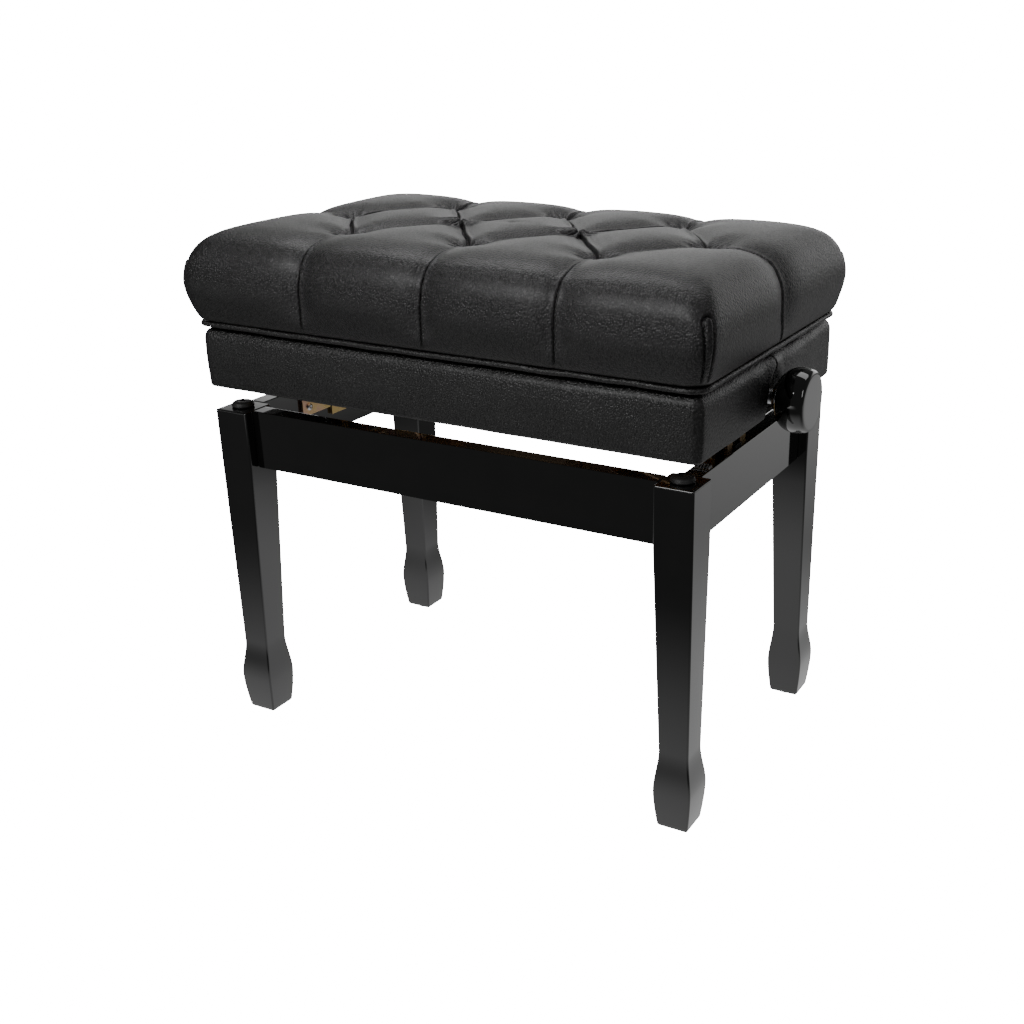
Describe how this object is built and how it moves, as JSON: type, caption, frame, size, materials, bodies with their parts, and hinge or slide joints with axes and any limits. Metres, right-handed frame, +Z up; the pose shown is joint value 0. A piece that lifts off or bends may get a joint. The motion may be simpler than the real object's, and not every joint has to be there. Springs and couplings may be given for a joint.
{
  "type": "piano bench",
  "caption": "Height-adjustable piano bench with a tufted leather seat box on a black lacquered frame, raised by a knob-turned spindle and folding arms.",
  "frame": {"origin": "on the floor, under the centre of the bench, at the bottom centre of its bounding box", "axes": "+X along the length to the right-hand knob, +Y towards the back, +Z up"},
  "size_m": [0.608, 0.3544, 0.517],
  "materials": {
    "black_lacquer": "black polyester lacquer, high gloss",
    "black_leather": "black pebble-grain upholstery leather, satin",
    "yellow_zinc": "yellow passivated zinc plate, iridescent",
    "bright_steel": "clear zinc plated steel",
    "bronze": "machined bronze",
    "bare_wood": "unfinished plywood and hardwood",
    "black_rubber": "moulded rubber, satin",
    "black_nylon": "moulded nylon",
    "gloss_black_plastic": "polished black plastic, mirror gloss"
  },
  "bodies": {
    "frame": {"leg_front_left": "black_lacquer", "leg_front_right": "black_lacquer", "leg_back_left": "black_lacquer", "leg_back_right": "black_lacquer", "apron_front": "black_lacquer", "apron_back": "black_lacquer", "apron_left": "black_lacquer", "apron_right": "black_lacquer", "corner_block_front_left": "bare_wood", "corner_block_front_right": "bare_wood", "corner_block_back_left": "bare_wood", "corner_block_back_right": "bare_wood", "leg_bolt_front_left": "bright_steel", "leg_bolt_front_right": "bright_steel", "leg_bolt_back_left": "bright_steel", "leg_bolt_back_right": "bright_steel", "bumper_front_left": "black_rubber", "bumper_front_right": "black_rubber", "bumper_back_left": "black_rubber", "bumper_back_right": "black_rubber", "floor_glide_front_left": "black_nylon", "floor_glide_front_right": "black_nylon", "floor_glide_back_left": "black_nylon", "floor_glide_back_right": "black_nylon", "base_rail_left": "yellow_zinc", "base_rail_right": "yellow_zinc", "base_pivot_rod_left": "bright_steel", "base_pivot_rod_right": "bright_steel", "base_guide_left": "yellow_zinc", "base_guide_right": "yellow_zinc"},
    "seat": {"seat_board": "bare_wood", "skirt_front": "black_leather", "skirt_back": "black_leather", "skirt_left": "black_leather", "skirt_right": "black_leather", "cushion": "black_leather", "piping": "black_leather", "top_rail_left": "yellow_zinc", "top_rail_right": "yellow_zinc", "top_pivot_rod_left": "bright_steel", "top_pivot_rod_right": "bright_steel", "seat_guide_left": "yellow_zinc", "seat_guide_right": "yellow_zinc"},
    "sliders": {"spindle_slider_left": "black_nylon", "spindle_slider_right": "black_nylon"},
    "screw": {"spindle": "bright_steel", "knob_left": "gloss_black_plastic", "knob_right": "gloss_black_plastic"},
    "lower_arms_left": {"lower_arm_front_left": "yellow_zinc", "lower_arm_back_left": "yellow_zinc"},
    "upper_arms_left": {"upper_arm_front_left": "yellow_zinc", "upper_arm_back_left": "yellow_zinc"},
    "nut_carrier_left": {"nut_bar_left": "yellow_zinc", "lift_nut_left": "bronze"},
    "lower_arms_right": {"lower_arm_front_right": "yellow_zinc", "lower_arm_back_right": "yellow_zinc"},
    "upper_arms_right": {"upper_arm_front_right": "yellow_zinc", "upper_arm_back_right": "yellow_zinc"},
    "nut_carrier_right": {"nut_bar_right": "yellow_zinc", "lift_nut_right": "bronze"}
  },
  "joints": [
    {"name": "seat_lift", "type": "slide", "parent": "frame", "child": "seat", "axis": [0, 0, 1], "range_m": [-0.0165, 0.075]},
    {"name": "spindle_rise", "type": "slide", "parent": "frame", "child": "sliders", "axis": [0, 0, 1], "range_m": [-0.00875, 0.038]},
    {"name": "spindle_turn", "type": "hinge", "parent": "sliders", "child": "screw", "pos_m": [0, 0, 0.38], "axis": [-1, 0, 0], "range_deg": [-440, 1982]},
    {"name": "lower_arm_pivot_left", "type": "hinge", "parent": "frame", "child": "lower_arms_left", "pos_m": [-0.198, 0, 0.343], "axis": [0, -1, 0], "range_deg": [-5.25, 22.01]},
    {"name": "upper_arm_pivot_left", "type": "hinge", "parent": "lower_arms_left", "child": "upper_arms_left", "pos_m": [-0.09189, 0, 0.372], "axis": [0, 1, 0], "range_deg": [-10.5, 44.02]},
    {"name": "nut_pivot_left", "type": "hinge", "parent": "lower_arms_left", "child": "nut_carrier_left", "pos_m": [-0.09189, 0, 0.372], "axis": [0, 1, 0], "range_deg": [-5.25, 22.01]},
    {"name": "lower_arm_pivot_right", "type": "hinge", "parent": "frame", "child": "lower_arms_right", "pos_m": [0.198, 0, 0.343], "axis": [0, 1, 0], "range_deg": [-5.25, 22.01]},
    {"name": "upper_arm_pivot_right", "type": "hinge", "parent": "lower_arms_right", "child": "upper_arms_right", "pos_m": [0.09189, 0, 0.372], "axis": [0, -1, 0], "range_deg": [-10.5, 44.02]},
    {"name": "nut_pivot_right", "type": "hinge", "parent": "lower_arms_right", "child": "nut_carrier_right", "pos_m": [0.09189, 0, 0.372], "axis": [0, -1, 0], "range_deg": [-5.25, 22.01]}
  ],
  "couplings": [
    {"joint": "spindle_rise", "follows": "seat_lift", "ratio": 0.5},
    {"joint": "spindle_turn", "follows": "seat_lift", "rad_per_m": 460},
    {"joint": "lower_arm_pivot_left", "follows": "seat_lift", "rad_per_m": 5},
    {"joint": "upper_arm_pivot_left", "follows": "seat_lift", "rad_per_m": 10},
    {"joint": "nut_pivot_left", "follows": "seat_lift", "rad_per_m": 5},
    {"joint": "lower_arm_pivot_right", "follows": "seat_lift", "rad_per_m": 5},
    {"joint": "upper_arm_pivot_right", "follows": "seat_lift", "rad_per_m": 10},
    {"joint": "nut_pivot_right", "follows": "seat_lift", "rad_per_m": 5}
  ]
}
